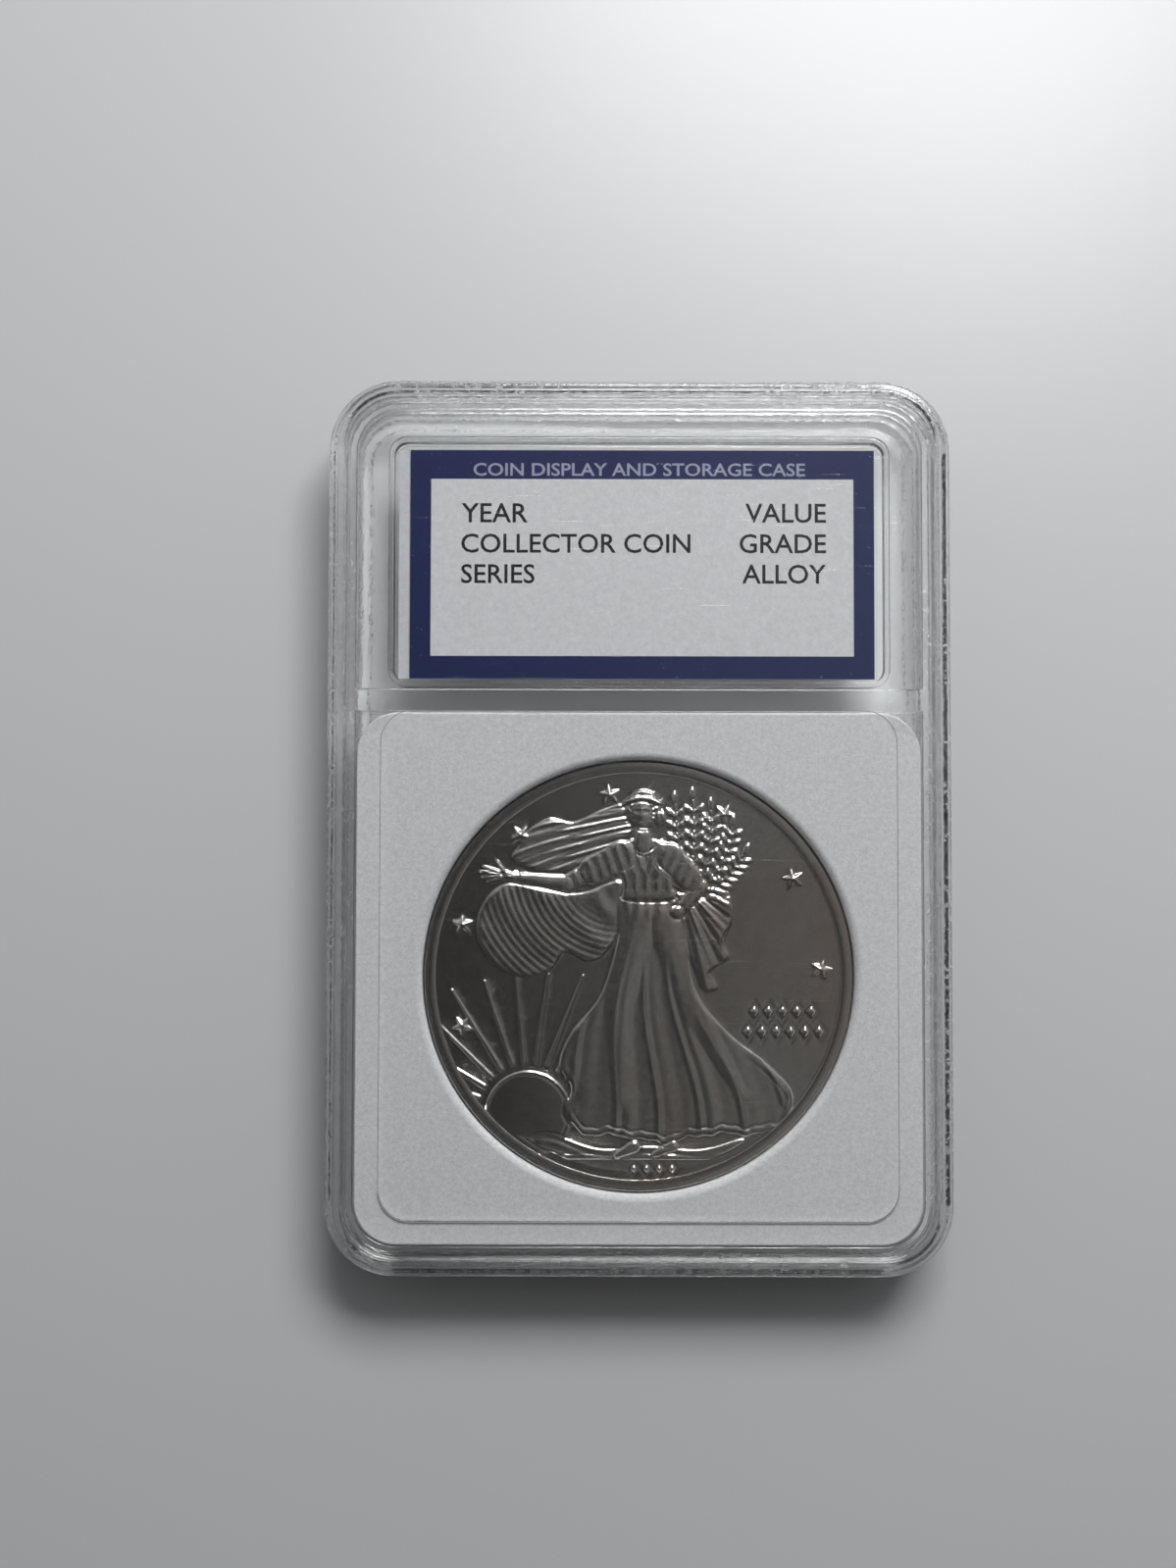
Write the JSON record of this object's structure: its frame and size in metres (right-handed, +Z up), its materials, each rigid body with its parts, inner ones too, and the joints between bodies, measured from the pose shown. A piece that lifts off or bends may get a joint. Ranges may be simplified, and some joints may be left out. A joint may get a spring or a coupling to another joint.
{
  "type": "graded coin slab",
  "caption": "Flat clear press-together coin slab: two shells with stacking rims close over a foam insert, a large reeded coin and back-to-back printed cards.",
  "frame": {"origin": "middle of the plane that the rear foot stands on, under the middle of the slab", "axes": "+X across the slab's width, +Y along its length towards the cards, +Z up out of the front"},
  "size_m": [0.0586, 0.0842, 0.0086],
  "materials": {
    "clear_plastic": "clear, polished, faint scuffs",
    "white_foam": "fine-grained matte foam",
    "silver": "struck silver with satin relief",
    "white_card": "uncoated white card",
    "blue_card": "printed blue border on white card"
  },
  "bodies": {
    "holder_rear": {"rear_shell": "clear_plastic"},
    "holder_front": {"front_shell": "clear_plastic"},
    "insert": {"foam_insert": "white_foam"},
    "coin": {"coin": "silver"},
    "rear_card": {"rear_label": "white_card"},
    "front_card": {"front_label": "blue_card"}
  },
  "joints": [
    {"name": "front_lift", "type": "slide", "parent": "holder_rear", "child": "holder_front", "axis": [0, 0, 1], "range_m": [0, 0.04]},
    {"name": "insert_lift", "type": "slide", "parent": "holder_rear", "child": "insert", "axis": [0, 0, 1], "range_m": [0, 0.012]},
    {"name": "coin_lift", "type": "slide", "parent": "insert", "child": "coin", "axis": [0, 0, 1], "range_m": [0, 0.01]},
    {"name": "rear_label_lift", "type": "slide", "parent": "holder_rear", "child": "rear_card", "axis": [0, 0, 1], "range_m": [0, 0.014]},
    {"name": "front_label_lift", "type": "slide", "parent": "rear_card", "child": "front_card", "axis": [0, 0, 1], "range_m": [0, 0.01]}
  ],
  "couplings": [
    {"joint": "insert_lift", "follows": "front_lift", "ratio": 0.3},
    {"joint": "coin_lift", "follows": "front_lift", "ratio": 0.25},
    {"joint": "rear_label_lift", "follows": "front_lift", "ratio": 0.35},
    {"joint": "front_label_lift", "follows": "front_lift", "ratio": 0.25}
  ]
}
